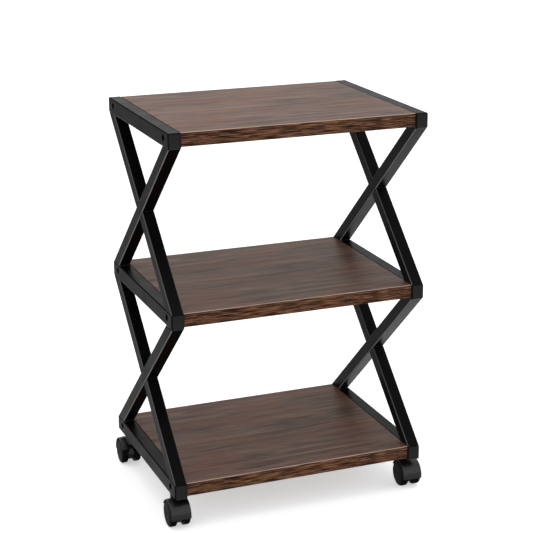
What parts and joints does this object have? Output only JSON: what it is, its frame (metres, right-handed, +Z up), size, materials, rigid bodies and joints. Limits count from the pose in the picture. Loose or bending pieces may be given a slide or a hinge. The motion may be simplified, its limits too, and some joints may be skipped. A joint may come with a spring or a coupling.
{
  "type": "mobile printer stand",
  "caption": "Wheeled printer stand: two black steel side frames with crossed braces, wood-look shelves between them, and swivelling twin-wheel castors.",
  "frame": {"origin": "centre of the footprint, on the floor", "axes": "+X to the right across the width, +Y from front to rear, +Z up"},
  "size_m": [0.544, 0.388, 0.79],
  "materials": {
    "coated_steel": "satin black powder coat",
    "rustic_board": "dark rustic brown grain, matt laminate",
    "plug_plastic": "satin black",
    "castor_plastic": "smooth black moulding",
    "wheel_plastic": "satin black",
    "zinc": "zinc plated",
    "black_zinc": "black zinc plated"
  },
  "bodies": {
    "frame": {"shelf_bottom": "rustic_board", "shelf_middle": "rustic_board", "shelf_top": "rustic_board", "rail_bottom_left": "coated_steel", "plug_bottom_left_front": "plug_plastic", "screw_bottom_left_front": "black_zinc", "plug_bottom_left_rear": "plug_plastic", "screw_bottom_left_rear": "black_zinc", "rail_middle_left": "coated_steel", "plug_middle_left_front": "plug_plastic", "screw_middle_left_front": "black_zinc", "plug_middle_left_rear": "plug_plastic", "screw_middle_left_rear": "black_zinc", "rail_top_left": "coated_steel", "plug_top_left_front": "plug_plastic", "screw_top_left_front": "black_zinc", "plug_top_left_rear": "plug_plastic", "screw_top_left_rear": "black_zinc", "cross_lower_left": "coated_steel", "cross_upper_left": "coated_steel", "rail_bottom_right": "coated_steel", "plug_bottom_right_front": "plug_plastic", "screw_bottom_right_front": "black_zinc", "plug_bottom_right_rear": "plug_plastic", "screw_bottom_right_rear": "black_zinc", "rail_middle_right": "coated_steel", "plug_middle_right_front": "plug_plastic", "screw_middle_right_front": "black_zinc", "plug_middle_right_rear": "plug_plastic", "screw_middle_right_rear": "black_zinc", "rail_top_right": "coated_steel", "plug_top_right_front": "plug_plastic", "screw_top_right_front": "black_zinc", "plug_top_right_rear": "plug_plastic", "screw_top_right_rear": "black_zinc", "cross_lower_right": "coated_steel", "cross_upper_right": "coated_steel", "castor_stem_front_left": "black_zinc", "castor_stem_front_right": "black_zinc", "castor_stem_rear_left": "black_zinc", "castor_stem_rear_right": "black_zinc"},
    "castor_front_left": {"castor_body_front_left": "castor_plastic", "castor_axle_front_left": "zinc"},
    "wheel_front_left_outer": {"wheel_front_left_outer": "wheel_plastic"},
    "wheel_front_left_inner": {"wheel_front_left_inner": "wheel_plastic"},
    "castor_front_right": {"castor_body_front_right": "castor_plastic", "castor_axle_front_right": "zinc"},
    "wheel_front_right_outer": {"wheel_front_right_outer": "wheel_plastic"},
    "wheel_front_right_inner": {"wheel_front_right_inner": "wheel_plastic"},
    "castor_rear_left": {"castor_body_rear_left": "castor_plastic", "castor_axle_rear_left": "zinc"},
    "wheel_rear_left_outer": {"wheel_rear_left_outer": "wheel_plastic"},
    "wheel_rear_left_inner": {"wheel_rear_left_inner": "wheel_plastic"},
    "castor_rear_right": {"castor_body_rear_right": "castor_plastic", "castor_axle_rear_right": "zinc"},
    "wheel_rear_right_outer": {"wheel_rear_right_outer": "wheel_plastic"},
    "wheel_rear_right_inner": {"wheel_rear_right_inner": "wheel_plastic"}
  },
  "joints": [
    {"name": "swivel_front_left", "type": "hinge", "parent": "frame", "child": "castor_front_left", "pos_m": [-0.251, -0.151, 0.05], "axis": [0, 0, 1], "continuous": true},
    {"name": "spin_front_left_outer", "type": "hinge", "parent": "castor_front_left", "child": "wheel_front_left_outer", "pos_m": [-0.251, -0.164, 0.026], "axis": [1, 0, 0], "continuous": true},
    {"name": "spin_front_left_inner", "type": "hinge", "parent": "castor_front_left", "child": "wheel_front_left_inner", "pos_m": [-0.251, -0.164, 0.026], "axis": [1, 0, 0], "continuous": true},
    {"name": "swivel_front_right", "type": "hinge", "parent": "frame", "child": "castor_front_right", "pos_m": [0.251, -0.151, 0.05], "axis": [0, 0, 1], "continuous": true},
    {"name": "spin_front_right_outer", "type": "hinge", "parent": "castor_front_right", "child": "wheel_front_right_outer", "pos_m": [0.251, -0.164, 0.026], "axis": [1, 0, 0], "continuous": true},
    {"name": "spin_front_right_inner", "type": "hinge", "parent": "castor_front_right", "child": "wheel_front_right_inner", "pos_m": [0.251, -0.164, 0.026], "axis": [1, 0, 0], "continuous": true},
    {"name": "swivel_rear_left", "type": "hinge", "parent": "frame", "child": "castor_rear_left", "pos_m": [-0.251, 0.151, 0.05], "axis": [0, 0, 1], "continuous": true},
    {"name": "spin_rear_left_outer", "type": "hinge", "parent": "castor_rear_left", "child": "wheel_rear_left_outer", "pos_m": [-0.251, 0.164, 0.026], "axis": [1, 0, 0], "continuous": true},
    {"name": "spin_rear_left_inner", "type": "hinge", "parent": "castor_rear_left", "child": "wheel_rear_left_inner", "pos_m": [-0.251, 0.164, 0.026], "axis": [1, 0, 0], "continuous": true},
    {"name": "swivel_rear_right", "type": "hinge", "parent": "frame", "child": "castor_rear_right", "pos_m": [0.251, 0.151, 0.05], "axis": [0, 0, 1], "continuous": true},
    {"name": "spin_rear_right_outer", "type": "hinge", "parent": "castor_rear_right", "child": "wheel_rear_right_outer", "pos_m": [0.251, 0.164, 0.026], "axis": [1, 0, 0], "continuous": true},
    {"name": "spin_rear_right_inner", "type": "hinge", "parent": "castor_rear_right", "child": "wheel_rear_right_inner", "pos_m": [0.251, 0.164, 0.026], "axis": [1, 0, 0], "continuous": true}
  ]
}
